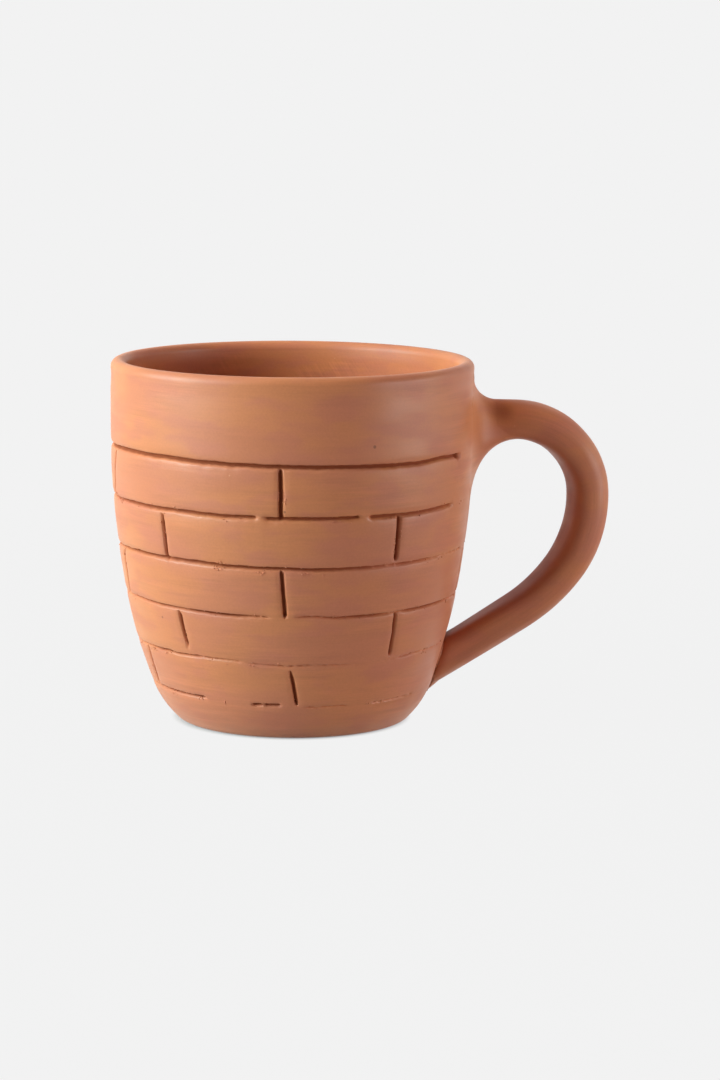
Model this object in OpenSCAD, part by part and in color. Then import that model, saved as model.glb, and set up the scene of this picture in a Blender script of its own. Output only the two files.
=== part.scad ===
// Thrown clay cup with a brick pattern cut into its wall and one pulled loop handle.
// Millimetres. The origin is the centre of the foot, +Z is up, and the handle points along +X.

/* [Cup] */
// Height of the cup, foot to the top of the lip
cup_h = 90; // [84:0.5:100]
// Outer diameter at the rim
rim_d = 90; // [82:0.5:104]
// Thickness of the wall
wall_t = 4; // [3:0.1:5]
// Thickness of the floor
floor_t = 6; // [4:0.5:9]
// Height of the upright upper wall, lip included, above the part that draws in
upright_h = 18; // [12:0.5:24]
// Radius of the long curve of the lower wall, seen from the side
belly_r = 198; // [170:1:260]
// Radius of the heel, seen from the side, where the wall starts to turn under to the foot
heel_r = 21; // [16:0.5:26]
// Lean of the heel, from upright, where it reaches the foot's edge
heel_lean = 47; // [42:1:52]
// Rounding of the foot's edge
foot_edge_r = 3.3; // [2:0.1:5]
// Rounding where the wall meets the floor inside
bowl_r = 12; // [6:0.5:16]

/* [Bricks] */
// Height of the plain band between the lip and the first cut ring
band_h = 20.8; // [18:0.1:22]
// Height of the lowest cut ring above the foot
low_ring_z = 9.2; // [8.5:0.1:12]
// How much lower each course is than the one above it
course_shrink = 0.3; // [0:0.05:0.4]
// Width of the cuts
cut_w = 1.3; // [0.8:0.1:2]
// Depth of the cuts
cut_d = 0.8; // [0.5:0.1:1]
// Width of the first ring, which is cut more boldly
top_ring_w = 1.9; // [1:0.1:2.4]
// Depth of the first ring
top_ring_d = 1.1; // [0.6:0.1:1.3]

/* [Handle] */
// Thickness of the handle, seen from the side
handle_t = 10.6; // [9:0.1:12]
// Width of the handle, across the loop
handle_w = 12.6; // [10:0.1:15]
// Depth of the upper joint's centre below the top of the lip
handle_drop = 15.5; // [14:0.5:17]
// Height of the lower joint's centre above the foot
low_joint_z = 11.9; // [11.5:0.1:16]
// Dip of the upper arm below level. The arm and the three bends give the shape of the loop, and the
// heights of the two joints give its size.
dip_angle = 2; // [0:0.5:5]
// Length of the upper arm before the first bend
arm_l = 11.5; // [9:0.5:16]
// Radius of the top bend
top_bend_r = 19; // [17:0.5:21]
// Turn of the top bend
top_bend_angle = 85; // [82:1:88]
// Radius of the outer bend
side_bend_r = 31; // [28:0.5:33]
// Turn of the outer bend
side_bend_angle = 40; // [38:1:42]
// Radius of the easy bend into the lower arm
low_bend_r = 44; // [38:1:50]
// Turn of the easy bend
low_bend_angle = 21; // [19:1:24]

/* [Joints] */
// Thickness of the slip between handle and wall
slip_t = 0.4; // [0.3:0.05:0.8]
// How far the slip stays inside the handle's end
slip_inset = 0.5; // [0.3:0.1:1]
// Width of the score marks that key the slip
score_w = 0.6; // [0.4:0.1:1]
// Depth of the score marks
score_d = 0.5; // [0.3:0.1:0.8]
// Distance between score marks
score_gap = 2.6; // [2:0.1:3.5]
// Least thickness of the luting clay where it thins out on the handle
lute_skin = 0.3; // [0.2:0.05:0.6]
// Height of the upper joint's clay above the handle
upper_lute_up = 6; // [4:0.5:8]
// How far that clay runs out along the handle's top
upper_lute_up_reach = 5.5; // [4:0.5:8]
// Length of the clay web below the handle
upper_lute_down = 16; // [8:0.5:17]
// How far the web runs out under the handle
upper_lute_down_reach = 8.5; // [5:0.5:10]
// Spread of the clay on each side of both joints
lute_side = 4.5; // [2:0.5:6]
// How far the side clay runs out along the handle
lute_side_reach = 6; // [3:0.5:8]
// Height of the lower joint's clay above the handle
lower_lute_up = 1.5; // [0.5:0.5:3]
// Length of the lower joint's clay below the handle
lower_lute_down = 0.6; // [0.2:0.1:1.5]
// How far the lower joint's clay runs out along the handle
lower_lute_reach = 6; // [4:0.5:9]

/* [Hidden] */

$fn = 180;
CLAY = [0.72, 0.45, 0.32];
LUTE = [0.68, 0.42, 0.30];
SLIP = [0.60, 0.34, 0.24];

rim_r = rim_d / 2;
lip_r = wall_t / 2;
belly_x = rim_r - belly_r;
draw_in_z = cup_h - upright_h;
// Steps in the arcs of the outline
corner_steps = 8;
belly_steps = 14;
lip_steps = 12;
// Overrun of cuts past the faces they open, and of the handle into the wall before it is trimmed
overrun = wall_t / 2;

// Bricks: the rings, top to bottom, and the upright joints of each course as angles from the handle.
// They were cut freehand, so they are not evenly spaced. One joint is missing under each end of the handle.
courses = 5;
top_ring_z = cup_h - band_h;
course_h = (top_ring_z - low_ring_z) / courses + course_shrink * (courses - 1) / 2;
joint_angles = [
    [-173, -100.5, 52, 118],
    [-141, -61.5, 17, 84, 150],
    [-171, -100, -17, 52, 118],
    [-138, -59, 18, 86, 150],
    [-165, -96, 50, 116]
];
// Half the angle over which each ring is left uncut for the handle's clay
ring_stops = [33, 36, 0, 0, 20, 20];
function ring_z(i) = top_ring_z - i * course_h + course_shrink * i * (i - 1) / 2;

// Radius of the outer wall at a height above the heel
function wall_r(z) = z > draw_in_z ? rim_r : belly_x + sqrt(pow(belly_r, 2) - pow(draw_in_z - z, 2));
// Lean of the wall at that height, from upright
function wall_lean(z) = z > draw_in_z ? 0 : asin((draw_in_z - z) / belly_r);

// Handle route: a pose is a place out from the axis, a height and a heading, turning clockwise
function straight(p, l) = [p[0] + l * cos(p[2]), p[1] + l * sin(p[2]), p[2]];
function bent(p, r, a) = [
    p[0] + r * (sin(p[2]) - sin(p[2] - a)),
    p[1] + r * (cos(p[2] - a) - cos(p[2])),
    p[2] - a
];
function bend_steps(p, r, a) = let (n = ceil(a / ring_step_angle)) [for (i = [1:n]) bent(p, r, a * i / n)];

ring_step_angle = 5;
sides = 32;
flare_steps = 10;
upper_root = [rim_r, cup_h - handle_drop, -dip_angle];
loop_turn = dip_angle + top_bend_angle + side_bend_angle + low_bend_angle;
lower_root = [wall_r(low_joint_z), low_joint_z, -loop_turn];

// Where the three bends start and the last one ends, for a loop of size k
function top_bend_start(k) = straight(upper_root, k * arm_l);
function side_bend_start(k) = bent(top_bend_start(k), k * top_bend_r, top_bend_angle);
function low_bend_start(k) = bent(side_bend_start(k), k * side_bend_r, side_bend_angle);
function low_arm_start(k) = bent(low_bend_start(k), k * low_bend_r, low_bend_angle);
// How far to the side of the lower arm's line through the lower root a place lies
function off_line(p) = (p[1] - lower_root[1]) * cos(loop_turn) + (p[0] - lower_root[0]) * sin(loop_turn);
// The size at which the lower arm meets the wall at the lower root
loop_k = off_line(upper_root) / (off_line(upper_root) - off_line(low_arm_start(1)));

root_sink = handle_t;
route = concat(
    [straight(upper_root, -overrun), top_bend_start(loop_k)],
    bend_steps(top_bend_start(loop_k), loop_k * top_bend_r, top_bend_angle),
    bend_steps(side_bend_start(loop_k), loop_k * side_bend_r, side_bend_angle),
    bend_steps(low_bend_start(loop_k), loop_k * low_bend_r, low_bend_angle),
    [straight(lower_root, root_sink)]
);

// Flat oval of the handle's kind, with its own reach down, up and to each side
function oval(up, down, side) = [
    for (k = [0:sides - 1]) let (a = 360 * k / sides) [(cos(a) > 0 ? down : up) * cos(a), side * sin(a)]
];
// An oval set square across a pose
function ring(p, flat) = [for (q = flat) [p[0] + q[0] * sin(p[2]), q[1], p[1] - q[0] * cos(p[2])]];

// Closed skin over a row of rings
module skin(rings) {
    n = len(rings);
    walls = [
        for (i = [0:n - 2], k = [0:sides - 1], half = [0, 1])
            let (a = i * sides + k, b = i * sides + (k + 1) % sides)
            half == 0 ? [a, b + sides, b] : [a, a + sides, b + sides]
    ];
    start_cap = [for (k = [1:sides - 2]) [0, k, k + 1]];
    end_cap = [for (k = [1:sides - 2]) [0, k + 1, k] + [1, 1, 1] * (n - 1) * sides];
    polyhedron(points = [for (r = rings) each r], faces = concat(walls, start_cap, end_cap));
}

// Points along an arc, from one angle to another
function arc(x, z, r, from_a, to_a, steps) = [
    for (i = [0:steps]) let (a = from_a + (to_a - from_a) * i / steps) [x + r * cos(a), z + r * sin(a)]
];
function reversed(v) = [for (i = [len(v) - 1:-1:0]) v[i]];

function rest(v) = [for (i = [1:len(v) - 1]) v[i]];

// Inside of the wall, from the middle of the floor up to draw_in_z
function inner_line() =
    let (
        r = belly_r - wall_t,
        bowl_z = floor_t + bowl_r,
        bowl_x = belly_x + sqrt(pow(r - bowl_r, 2) - pow(draw_in_z - bowl_z, 2)),
        meet_a = asin((draw_in_z - bowl_z) / (r - bowl_r))
    )
    concat(
        [[0, floor_t]],
        arc(bowl_x, bowl_z, bowl_r, -90, -meet_a, corner_steps),
        rest(arc(belly_x, draw_in_z, r, -meet_a, 0, belly_steps))
    );

// Outside of the wall, from the middle of the foot up to draw_in_z, moved outwards by grow
function outer_line(grow) =
    let (
        heel_z = foot_edge_r + (heel_r - foot_edge_r) * sin(heel_lean),
        meet_a = asin((draw_in_z - heel_z) / (belly_r - heel_r)),
        heel_x = belly_x + (belly_r - heel_r) * cos(meet_a),
        edge_x = heel_x + (heel_r - foot_edge_r) * cos(heel_lean)
    )
    concat(
        [[0, -grow]],
        arc(edge_x, foot_edge_r, foot_edge_r + grow, -90, -heel_lean, corner_steps),
        rest(arc(heel_x, heel_z, heel_r + grow, -heel_lean, -meet_a, corner_steps)),
        rest(arc(belly_x, draw_in_z, belly_r + grow, -meet_a, 0, belly_steps))
    );

// The cup as a solid lump, its outside moved outwards by grow
module cup_lump(grow) {
    rotate_extrude() polygon(concat(
        outer_line(grow),
        [[rim_r + grow, cup_h + grow], [0, cup_h + grow]]
    ));
}

// One cut ring with a round bottom
module ring_cut(z, width, depth, stop) {
    r = (pow(width / 2, 2) + pow(depth, 2)) / (2 * depth);
    rotate_extrude(angle = 360 - 2 * stop, start = stop)
        translate([wall_r(z) + r - depth, z]) circle(r, $fn = 24);
}

// One upright joint between two rings, following the wall
module joint_cut(angle, low_z, high_z) {
    rotate([0, 0, angle]) rotate([90, 0, 0]) linear_extrude(cut_w, center = true) intersection() {
        polygon(concat(
            outer_line(overrun),
            [[rim_r + overrun, cup_h], [rim_r - cut_d, cup_h]],
            reversed(outer_line(-cut_d))
        ));
        translate([0, low_z]) square([rim_d, high_z - low_z]);
    }
}

module brick_cuts() {
    for (i = [0:courses])
        ring_cut(ring_z(i), i == 0 ? top_ring_w : cut_w, i == 0 ? top_ring_d : cut_d, ring_stops[i]);
    for (i = [0:courses - 1], angle = joint_angles[i])
        joint_cut(angle, ring_z(i + 1), ring_z(i));
}

// Straight bar through a root, with the handle's section drawn in by inset
module root_bar(root, inset) {
    half_t = handle_t / 2 - inset;
    translate([root[0], 0, root[1]]) rotate([0, 90 - root[2], 0])
        linear_extrude(2 * root_sink, center = true) polygon(oval(half_t, half_t, handle_w / 2 - inset));
}

// Crossed score marks at a root, as deep as the slip fills them on both sides
module score_marks(root) {
    rows = floor((handle_w / 2 - slip_inset) / score_gap);
    intersection() {
        difference() {
            cup_lump(slip_t + score_d);
            cup_lump(-score_d);
        }
        root_bar(root, slip_inset);
        for (lean = [-45, 45], i = [-rows:rows])
            translate([root[0], 0, root[1]]) rotate([lean, 0, 0]) translate([0, i * score_gap, 0])
                cube([4 * root_sink, score_w, 4 * root_sink], center = true);
    }
}

// Slip between the wall and the handle's end, run into the score marks
module slip_layer(root) {
    intersection() {
        difference() {
            cup_lump(slip_t);
            cup_lump(0);
        }
        root_bar(root, slip_inset);
    }
    score_marks(root);
}

module handle_bar() {
    skin([for (p = route) ring(p, oval(handle_t / 2, handle_t / 2, handle_w / 2))]);
}

// Hollow curve of worked-in clay: 1 at the wall, 0 at the end of its reach
function hollow(d, reach) = d < reach ? 1 - sqrt(1 - pow(1 - d / reach, 2)) : 0;
// How far the round wall falls back at a distance to the side
function fall_back(wall_x, side) = wall_x - sqrt(pow(wall_x, 2) - pow(side, 2));

// Flare of clay round a root, its rings parallel to the wall there and wrapped round it
module flare(root, out_a, up, up_reach, down, down_reach) {
    lean = wall_lean(root[1]);
    half = handle_t / 2 / cos(out_a + lean) + lute_skin;
    reach = max(up_reach, down_reach, lute_side_reach);
    skin([
        for (i = [-1:flare_steps])
            let (
                d = i < 0 ? 0 : reach * (1 - cos(90 * i / flare_steps)),
                on_route = straight([root[0], root[1], out_a], lute_skin + d),
                c = i < 0 ? straight([root[0], root[1], -lean], -2 * overrun) : on_route,
                flat = oval(
                    half + up * hollow(d, up_reach),
                    half + down * hollow(d, down_reach),
                    handle_w / 2 + lute_skin + lute_side * hollow(d, lute_side_reach)
                )
            )
            [for (q = ring([c[0], c[1], -lean], flat)) q - [fall_back(root[0], q[1]), 0, 0]]
    ]);
}

module thrown_body() {
    color(CLAY) difference() {
        rotate_extrude() polygon(concat(
            outer_line(0),
            arc(rim_r - lip_r, cup_h - lip_r, lip_r, 0, 180, lip_steps),
            reversed(inner_line())
        ));
        brick_cuts();
        score_marks(upper_root);
        score_marks(lower_root);
    }
}

module handle() {
    color(CLAY) difference() {
        handle_bar();
        cup_lump(slip_t);
        score_marks(upper_root);
        score_marks(lower_root);
    }
}

module upper_slip_layer() {
    color(SLIP) slip_layer(upper_root);
}

module lower_slip_layer() {
    color(SLIP) slip_layer(lower_root);
}

module upper_luting_clay() {
    color(LUTE) difference() {
        flare(
            upper_root, -dip_angle,
            upper_lute_up, upper_lute_up_reach,
            upper_lute_down, upper_lute_down_reach
        );
        cup_lump(0);
        handle_bar();
    }
}

module lower_luting_clay() {
    color(LUTE) difference() {
        flare(
            lower_root, 180 - loop_turn,
            lower_lute_up, lower_lute_reach,
            lower_lute_down, lower_lute_reach
        );
        cup_lump(0);
        handle_bar();
    }
}

thrown_body();
handle();
upper_slip_layer();
lower_slip_layer();
upper_luting_clay();
lower_luting_clay();
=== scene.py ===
import math

import bpy
import numpy as np
from mathutils import Matrix, Vector


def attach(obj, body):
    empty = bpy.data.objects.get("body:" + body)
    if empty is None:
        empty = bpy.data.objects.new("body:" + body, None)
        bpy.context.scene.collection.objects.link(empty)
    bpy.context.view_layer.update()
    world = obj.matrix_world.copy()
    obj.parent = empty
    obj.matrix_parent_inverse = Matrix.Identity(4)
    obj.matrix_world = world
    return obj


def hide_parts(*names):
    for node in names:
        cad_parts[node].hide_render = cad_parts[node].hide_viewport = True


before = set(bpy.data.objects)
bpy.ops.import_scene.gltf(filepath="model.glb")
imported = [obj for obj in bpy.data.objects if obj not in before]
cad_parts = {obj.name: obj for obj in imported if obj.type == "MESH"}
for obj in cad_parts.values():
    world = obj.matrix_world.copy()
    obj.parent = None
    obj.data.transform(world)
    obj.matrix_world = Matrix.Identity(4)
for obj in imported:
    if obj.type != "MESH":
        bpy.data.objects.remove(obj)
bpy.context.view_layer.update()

# Thrown cup
# The cup is thrown on a wheel from red clay and smoothed with a rib, so its lip is round and its wall
# carries fine level lines. The brick pattern is cut freehand with a pointed tool while the clay is
# still soft enough, and the cup stands on its flat foot.
MM = 0.001
RIM_R = 45.0
WALL_T = 4.0
CUP_H = 90.0
FLOOR_T = 6.0
UPRIGHT_H = 18.0
BELLY_R = 198.0
HEEL_R = 21.0
HEEL_LEAN = math.radians(47)
FOOT_EDGE_R = 3.3
BOWL_R = 12.0
LIP_R = WALL_T / 2
DRAW_IN_Z = CUP_H - UPRIGHT_H
BELLY_X = RIM_R - BELLY_R
LIP_Z = CUP_H - LIP_R


def wall_arcs(belly_r, turns, floor_z):
    """Arcs down one face of the wall: the belly, then turns given as a radius and a last lean."""
    heights = [floor_z + turns[-1][0]]
    for (radius, lean), (next_radius, _) in zip(reversed(turns[:-1]), reversed(turns[1:])):
        heights.insert(0, heights[0] + (radius - next_radius) * math.sin(lean))
    lean = math.asin((DRAW_IN_Z - heights[0]) / (belly_r - turns[0][0]))
    arcs = [(BELLY_X, DRAW_IN_Z, belly_r, 0.0, lean)]
    for (radius, end), z in zip(turns, heights):
        arcs.append((arcs[-1][0] + (arcs[-1][2] - radius) * math.cos(lean), z, radius, lean, end))
        lean = end
    return arcs


def along_wall(arcs, s):
    """Radius and height of places at lengths s down a face of the wall, and on to the cup's middle."""
    s = np.asarray(s, float)
    radius = np.full_like(s, arcs[0][0] + arcs[0][2])
    height = LIP_Z - s
    start = LIP_Z - DRAW_IN_Z
    for x, z, r, lean, end in arcs:
        turned = lean + np.clip((s - start) / r, 0, end - lean)
        radius = np.where(s > start, x + r * np.cos(turned), radius)
        height = np.where(s > start, z - r * np.sin(turned), height)
        start += r * (end - lean)
    return np.where(s > start, radius - (s - start), radius), height


def turn_starts(arcs):
    """Lengths down a face of the wall at which its arcs start, and at which the last one ends."""
    starts = [LIP_Z - DRAW_IN_Z]
    for _, _, r, lean, end in arcs:
        starts.append(starts[-1] + r * (end - lean))
    return starts


outer_arcs = wall_arcs(BELLY_R, [(HEEL_R, HEEL_LEAN), (FOOT_EDGE_R, math.pi / 2)], 0.0)
inner_arcs = wall_arcs(BELLY_R - WALL_T, [(BOWL_R, math.pi / 2)], FLOOR_T)
outer_starts = turn_starts(outer_arcs)
inner_starts = turn_starts(inner_arcs)


def down_to(z):
    """Length down the outer wall to a height above the heel."""
    z = np.asarray(z, float)
    fall = np.arcsin(np.clip(DRAW_IN_Z - z, 0, None) / BELLY_R)
    return np.where(z > DRAW_IN_Z, LIP_Z - z, outer_starts[0] + BELLY_R * fall)


# Level cuts, top to bottom: width, depth, then angle from the handle, height and bite of the tool
level_cuts = [
    (1.65, 1.0, [
        (-178, 69.3, 1), (-163, 69.7, 1), (-138, 69.7, 1), (-128, 69.4, 1), (-98, 69.0, 1), (-78, 68.8, 1),
        (-63, 68.6, 0.95), (-53, 68.6, 0.9), (-43, 69.0, 0.85), (-34.4, 68.8, 0.9),
        (-33.4, 68.7, 1.5), (-32.4, 68.7, 1.5), (-31.9, 68.7, 0), (33, 69.0, 0), (35, 69.0, 1), (60, 69.3, 1),
        (100, 69.6, 1), (140, 69.3, 1),
    ]),
    (1.55, 0.85, [
        (-168, 56.8, 0.8), (-158, 57.0, 1), (-133, 57.0, 1), (-118, 56.7, 1), (-108.5, 56.8, 0.9),
        (-107, 56.8, 0.15), (-105.6, 56.6, 0.2), (-104.5, 56.5, 1), (-98, 56.5, 1), (-78, 56.5, 1),
        (-76, 56.6, 1), (-75, 56.6, 0.15), (-72.5, 56.6, 0.15), (-71.5, 56.5, 1), (-58, 56.4, 0.9),
        (-48, 56.6, 0.9), (-36.5, 56.9, 0.8), (-35.5, 57.0, 0), (-30, 56.9, 0), (-28, 56.8, 0.25),
        (-24, 56.7, 0.2), (-20, 56.7, 0),
        (36, 56.6, 0), (38, 56.5, 1), (70, 56.8, 0.9), (100, 56.5, 1), (121, 56.4, 1), (124, 56.4, 0.2),
        (127, 56.5, 0.9), (150, 56.7, 0.9),
    ]),
    (1.4, 0.8, [
        (-173, 44.6, 0.8), (-163, 44.8, 0.9), (-158, 45.0, 1), (-128, 44.9, 1), (-118, 44.5, 1),
        (-98, 44.3, 1), (-88, 44.0, 1), (-73, 44.1, 0.9), (-64, 44.2, 0.6), (-58, 44.3, 0.8),
        (-48, 44.5, 0.7), (-43, 44.5, 0.5), (-33, 44.7, 0.4), (-18, 44.6, 0.3), (0, 44.4, 0.5),
        (30, 44.3, 0.8), (60, 44.6, 1), (100, 44.4, 0.9), (140, 44.2, 0.9), (165, 44.4, 0.9),
    ]),
    (1.15, 0.85, [
        (-173, 32.8, 0.5), (-163, 33.0, 0.7), (-148, 32.7, 0.9), (-136, 32.6, 0.7), (-128, 32.5, 1),
        (-118, 32.3, 1), (-113, 32.3, 0.8), (-108, 32.3, 0.6), (-105, 32.3, 0.5), (-103.5, 32.3, 0.1),
        (-96, 32.4, 0.1), (-94.5, 32.4, 0.6), (-90, 32.4, 0.6), (-83, 32.0, 0.7), (-77, 32.0, 0.85),
        (-68, 32.0, 0.85), (-62, 32.1, 0.55), (-57, 32.2, 0.6), (-53, 32.2, 0.85), (-38, 32.4, 0.9),
        (-28, 32.5, 0.6), (-15, 32.4, 0.5), (10, 32.2, 0.6), (40, 32.5, 0.8), (70, 32.4, 0.4),
        (74, 32.3, 0.1), (80, 32.2, 0.7), (110, 32.0, 0.9), (150, 32.4, 0.8), (170, 32.6, 0.6),
    ]),
    (1.15, 0.8, [
        (-173, 20.6, 0.5), (-163, 20.9, 0.6), (-158, 20.9, 0.8), (-153, 20.8, 1), (-147, 21.0, 1),
        (-143, 20.6, 0.8), (-133, 20.9, 0.75), (-128, 20.8, 0.6), (-118, 20.7, 0.5), (-108, 20.1, 0.45),
        (-98, 19.9, 0.5), (-88, 20.0, 0.5), (-78, 19.9, 0.4), (-68, 19.8, 0.15), (-55, 20.2, 0.2),
        (-53, 20.2, 0.5), (-48, 20.5, 0.65), (-38, 20.6, 0.5), (-28, 20.8, 0.4), (-21, 20.8, 0.2),
        (-20, 20.8, 0), (20, 20.6, 0), (22, 20.6, 0.5), (50, 20.4, 0.8), (90, 20.8, 0.6), (120, 20.6, 0.4),
        (150, 20.4, 0.7),
    ]),
    (1.1, 0.8, [
        (-176, 10.3, 0.4), (-164, 10.2, 0.6), (-161, 10.2, 1), (-143, 10.0, 1), (-134.5, 10.1, 0.9),
        (-133, 10.1, 0.2), (-128, 10.0, 0.1), (-113.2, 9.6, 0.1), (-112.4, 9.6, 1), (-109.2, 9.6, 1),
        (-108.5, 9.6, 0.2), (-107.6, 9.6, 1), (-102.0, 9.6, 1), (-101.2, 9.6, 0), (-92, 9.1, 0),
        (-90, 9.1, 0.5), (-75, 9.1, 0.5), (-73, 9.1, 0.2), (-64.5, 9.1, 0.2), (-62, 9.1, 0.5),
        (-50, 9.3, 0.5), (-41, 9.5, 0.45), (-39, 9.5, 0), (-20, 9.5, 0), (20, 9.4, 0), (24, 9.4, 0.6),
        (60, 9.6, 0.8), (90, 9.8, 0.2), (120, 9.5, 0.7), (150, 9.8, 0.6),
    ]),
]

# Upright cuts of each course: upper angle and height, lower angle and height, width and depth
upright_cuts = [
    [(-171, 68.7, -176, 55.8, 1.3, 0.8), (-100.5, 68.6, -100.4, 55.8, 1.9, 1.05),
     (52, 68.8, 51, 56.4, 1.7, 1.0), (118, 68.9, 119, 56.3, 1.6, 0.9)],
    [(-141.9, 55.8, -141.2, 44.0, 1.6, 0.95), (-61.4, 56.2, -61.8, 45.0, 1.9, 1.05),
     (17, 56.0, 17, 44.6, 1.4, 0.7), (84, 56.3, 83.5, 44.6, 1.7, 0.9), (150, 56.5, 150.5, 44.4, 1.6, 1.0)],
    [(-170.5, 44.6, -172, 32.9, 1.3, 0.8), (-100.4, 43.9, -99.1, 31.9, 1.8, 1.0),
     (-17, 44.0, -16.5, 32.4, 1.4, 0.7), (52, 44.1, 52.5, 32.2, 1.7, 0.9),
     (118, 44.3, 117.5, 31.9, 1.6, 0.9)],
    [(-138.6, 31.9, -136.9, 22.7, 1.6, 0.95), (-59.3, 32.2, -58.8, 20.9, 1.6, 0.8),
     (18, 32.0, 18, 20.8, 1.4, 0.7), (86, 32.1, 86.5, 20.7, 1.6, 0.9), (150, 32.4, 149.5, 20.6, 1.6, 0.8)],
    [(-164, 20.5, -166, 10.5, 1.3, 0.8), (-97.3, 18.6, -95.2, 9.3, 1.5, 0.95), (50, 20.2, 50, 9.6, 1.5, 0.9),
     (116, 20.0, 115, 9.6, 1.5, 0.8)],
]

# Seams of close mesh columns, each running down through the upright cuts that lie in line
seam_starts = [-171, -141.9, -100.5, -61.4, -17, 17, 52, 84, 118, 150]
SEAM_CATCH = 14
NEAR_CUT = [0.2, 0.4, 0.6, 0.8, 1.0, 1.25, 1.7]
seam_lines = []
for start in seam_starts:
    line = []
    for course in upright_cuts:
        for top_a, top_z, low_a, low_z, width, depth in course:
            if abs(top_a - start) < SEAM_CATCH:
                line += [(float(down_to(top_z)), top_a), (float(down_to(low_z)), low_a)]
    seam_lines.append(line)


def seam_angle(line, s):
    """Angle of a seam at lengths s down the wall."""
    return np.interp(s, [p[0] for p in line], [p[1] for p in line])


# Rows of the mesh down the wall: the two anchors that each lies between, its share of the way, an offset.
# The anchors are the lip, the six level cuts, and the start and end of the foot's edge.
PLAIN_STEP = 1.9
EDGE_STEPS = 6
anchor_s = [0.0] + [float(down_to(np.mean([p[1] for p in cut[2]]))) for cut in level_cuts] + outer_starts[-2:]
rows = [(0, 0, 0.0, 0.0)]
for a in range(len(anchor_s) - 1):
    cut_above = 0 < a < len(anchor_s) - 2
    cut_below = a + 1 < len(anchor_s) - 2
    near_a = NEAR_CUT[-1] if cut_above else 0.0
    near_b = NEAR_CUT[-1] if cut_below else 0.0
    if cut_above:
        rows += [(a, a, 0.0, n) for n in NEAR_CUT]
    gap = anchor_s[a + 1] - anchor_s[a] - near_a - near_b
    steps = EDGE_STEPS if a == len(anchor_s) - 2 else max(2, round(gap / PLAIN_STEP))
    rows += [(a, a + 1, t / steps, near_a * (1 - t / steps) - near_b * t / steps) for t in range(1, steps)]
    if cut_below:
        rows += [(a + 1, a + 1, 0.0, -n) for n in reversed(NEAR_CUT)]
    rows.append((a + 1, a + 1, 0.0, 0.0))

# Columns: close ones on both sides of each seam, then even ones up to the next seam
COLUMN_STEP = 0.6
MEAN_R = 42.0
degrees_per_mm = math.degrees(1 / MEAN_R)
columns = []
for k, start in enumerate(seam_starts):
    following = seam_starts[(k + 1) % len(seam_starts)] + (360 if k + 1 == len(seam_starts) else 0)
    gap = (following - start) / degrees_per_mm - 2 * NEAR_CUT[-1]
    steps = round(gap / COLUMN_STEP)
    columns.append((k, 0.0, 0.0))
    columns += [(k, 0.0, n) for n in NEAR_CUT]
    columns += [(k, t / steps, NEAR_CUT[-1] * (1 - 2 * t / steps)) for t in range(1, steps)]
    columns += [(k, 1.0, -n) for n in reversed(NEAR_CUT)]


def column_angles(s):
    """Angles of all mesh columns at lengths s down the wall, one row of the result for each length."""
    seams = [seam_angle(line, s) for line in seam_lines]
    seams.append(seams[0] + 360)
    return np.stack([
        (1 - t) * seams[k] + t * seams[k + 1] + offset * degrees_per_mm for k, t, offset in columns
    ], axis=-1)


def cut_line(cut, angle):
    """Length down the wall and bite of a level cut at angles from the handle."""
    angles = [p[0] for p in cut[2]]
    height = np.interp(angle, angles, [p[1] for p in cut[2]], period=360)
    bite = np.interp(angle, angles, [p[2] for p in cut[2]], period=360)
    return down_to(height), bite


row_s = np.array([(1 - t) * anchor_s[a] + t * anchor_s[b] + n for a, b, t, n in rows])
wall_angle = column_angles(row_s)
sway = []
for i in range(len(anchor_s)):
    if 0 < i < len(anchor_s) - 2:
        sway.append(cut_line(level_cuts[i - 1], wall_angle)[0] - anchor_s[i])
    else:
        sway.append(np.zeros_like(wall_angle))
wall_s = np.array([
    row_s[r] + (1 - t) * sway[a][r] + t * sway[b][r] for r, (a, b, t, n) in enumerate(rows)
])
wall_radius, wall_height = along_wall(outer_arcs, wall_s)

# Distance across the nearest cut, its half width and its depth, for both kinds of cut. A light cut is
# narrower than a full one.
FAR_OFF = 9.0
LEAST_WIDE = 0.45
level_off = np.full_like(wall_s, FAR_OFF)
level_half = np.ones_like(wall_s)
level_deep = np.zeros_like(wall_s)
for cut in level_cuts:
    middle_s, bite = cut_line(cut, wall_angle)
    off = middle_s - wall_s
    nearest = np.abs(off) < np.abs(level_off)
    level_off = np.where(nearest, off, level_off)
    level_half = np.where(nearest, cut[0] / 2 * (LEAST_WIDE + (1 - LEAST_WIDE) * bite), level_half)
    level_deep = np.where(nearest, cut[1] * bite, level_deep)
upright_off = np.full_like(wall_s, FAR_OFF)
upright_half = np.ones_like(wall_s)
upright_deep = np.zeros_like(wall_s)
# Each upright cut tapers at both ends, and the tool digs in deeper over its last sixth
TAPER = 1.0
UPRIGHT_SHARE = 0.42
LEAST_UPRIGHT = 0.55
END_DIG = 0.25
for course in upright_cuts:
    for top_a, top_z, low_a, low_z, width, depth in course:
        top_s, low_s = float(down_to(top_z)), float(down_to(low_z))
        share = np.clip((wall_s - top_s) / (low_s - top_s), 0, 1)
        turn = (wall_angle - (top_a + (low_a - top_a) * share) + 180) % 360 - 180
        off = np.radians(turn) * wall_radius
        inside = np.minimum(wall_s - top_s, low_s - wall_s)
        taper = np.clip(inside / TAPER, 0, 1)
        dig = 1 + END_DIG * np.clip(share * 6 - 5, 0, 1)
        nearest = (np.abs(off) < np.abs(upright_off)) & (inside > 0)
        upright_off = np.where(nearest, off, upright_off)
        half = width * UPRIGHT_SHARE * (LEAST_UPRIGHT + (1 - LEAST_UPRIGHT) * taper)
        upright_half = np.where(nearest, half, upright_half)
        upright_deep = np.where(nearest, depth * dig * np.sqrt(taper), upright_deep)

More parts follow.
